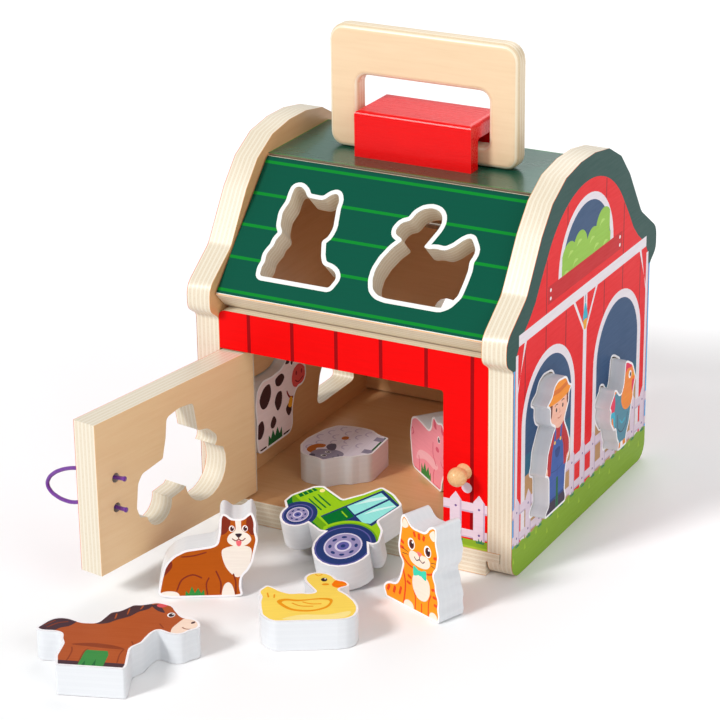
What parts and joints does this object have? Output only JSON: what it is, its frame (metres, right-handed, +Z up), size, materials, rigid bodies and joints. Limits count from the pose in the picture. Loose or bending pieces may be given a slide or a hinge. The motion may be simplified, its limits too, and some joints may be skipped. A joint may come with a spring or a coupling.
{
  "type": "toy barn with opening doors",
  "caption": "Wooden toy barn with a swinging front door, a flip-up roof flap, a folding carry handle and animal-shaped holes with matching play blocks.",
  "frame": {"origin": "middle of the underside of the barn's floor board, on the ground", "axes": "+X along the roof ridge to the right gable, -Y out of the doorway, +Z up"},
  "size_m": [0.2494, 0.4217, 0.2798],
  "materials": {
    "ply": "satin",
    "gable_print": "satin",
    "wall_print": "satin",
    "roof_top_print": "gloss",
    "roof_print": "satin",
    "steel": "satin",
    "elastic": "matte",
    "turned_wood": "satin",
    "red_paint": "gloss",
    "cat_paint": "satin",
    "duck_paint": "satin",
    "tractor_paint": "satin",
    "horse_paint": "satin",
    "dog_paint": "satin",
    "sheep_paint": "satin",
    "pig_paint": "satin",
    "cow_paint": "satin",
    "rooster_paint": "satin",
    "farmer_paint": "satin"
  },
  "bodies": {
    "barn": {"floor_board": "ply", "gable_left": "gable_print", "gable_right": "gable_print", "front_wall": "wall_print", "back_wall": "wall_print", "roof_top": "roof_top_print", "roof_back": "roof_print", "flap_pins": "steel", "door_pins": "steel", "door_knob": "turned_wood", "handle_saddle": "red_paint", "wall_dowels": "ply", "roof_dowels": "ply"},
    "roof_flap": {"roof_flap": "roof_print"},
    "door": {"front_door": "wall_print", "door_loop": "elastic"},
    "handle": {"handle": "turned_wood"},
    "block_cat": {"block_cat": "cat_paint"},
    "block_duck": {"block_duck": "duck_paint"},
    "block_tractor": {"block_tractor": "tractor_paint"},
    "block_horse": {"block_horse": "horse_paint"},
    "block_dog": {"block_dog": "dog_paint"},
    "block_sheep": {"block_sheep": "sheep_paint"},
    "block_pig": {"block_pig": "pig_paint"},
    "block_cow": {"block_cow": "cow_paint"},
    "block_rooster": {"block_rooster": "rooster_paint"},
    "block_farmer": {"block_farmer": "farmer_paint"}
  },
  "joints": [
    {"name": "door_hinge", "type": "hinge", "parent": "barn", "child": "door", "pos_m": [-0.0758, -0.0885, 0.0612], "axis": [0, 0, 1], "range_deg": [0, 99]},
    {"name": "flap_hinge", "type": "hinge", "parent": "barn", "child": "roof_flap", "pos_m": [0, -0.03688, 0.19943], "axis": [-1, 0, 0], "range_deg": [0, 105]},
    {"name": "handle_fold", "type": "hinge", "parent": "barn", "child": "handle", "pos_m": [0, 0.0015, 0.2103], "axis": [-1, 0, 0], "range_deg": [0, 90]},
    {"name": "cat_lift", "type": "slide", "parent": "barn", "child": "block_cat", "axis": [0, 0, 1], "range_m": [0, 0.08]},
    {"name": "duck_slide", "type": "slide", "parent": "barn", "child": "block_duck", "axis": [0.5, -0.866, 0], "range_m": [0, 0.0435]},
    {"name": "tractor_slide", "type": "slide", "parent": "barn", "child": "block_tractor", "axis": [0.433, -0.25, 0.866], "range_m": [0, 0.199]},
    {"name": "horse_lift", "type": "slide", "parent": "barn", "child": "block_horse", "axis": [0, 0, 1], "range_m": [0, 0.08]},
    {"name": "dog_slide", "type": "slide", "parent": "barn", "child": "block_dog", "axis": [0.8365, -0.2241, 0.5], "range_m": [0, 0.2595]},
    {"name": "sheep_lift", "type": "slide", "parent": "barn", "child": "block_sheep", "axis": [0, 0, 1], "range_m": [0, 0.05]},
    {"name": "pig_lift", "type": "slide", "parent": "barn", "child": "block_pig", "axis": [0, 0, 1], "range_m": [0, 0.04]},
    {"name": "cow_push", "type": "slide", "parent": "barn", "child": "block_cow", "axis": [1, 0, 0], "range_m": [-0.06, 0.014]},
    {"name": "rooster_push", "type": "slide", "parent": "barn", "child": "block_rooster", "axis": [1, 0, 0], "range_m": [-0.025, 0.06]},
    {"name": "farmer_push", "type": "slide", "parent": "barn", "child": "block_farmer", "axis": [1, 0, 0], "range_m": [-0.025, 0.06]}
  ],
  "couplings": [
    {"joint": "dog_slide", "follows": "door_hinge", "m_per_rad": 0.15},
    {"joint": "tractor_slide", "follows": "door_hinge", "m_per_rad": 0.115},
    {"joint": "duck_slide", "follows": "door_hinge", "m_per_rad": 0.025}
  ]
}
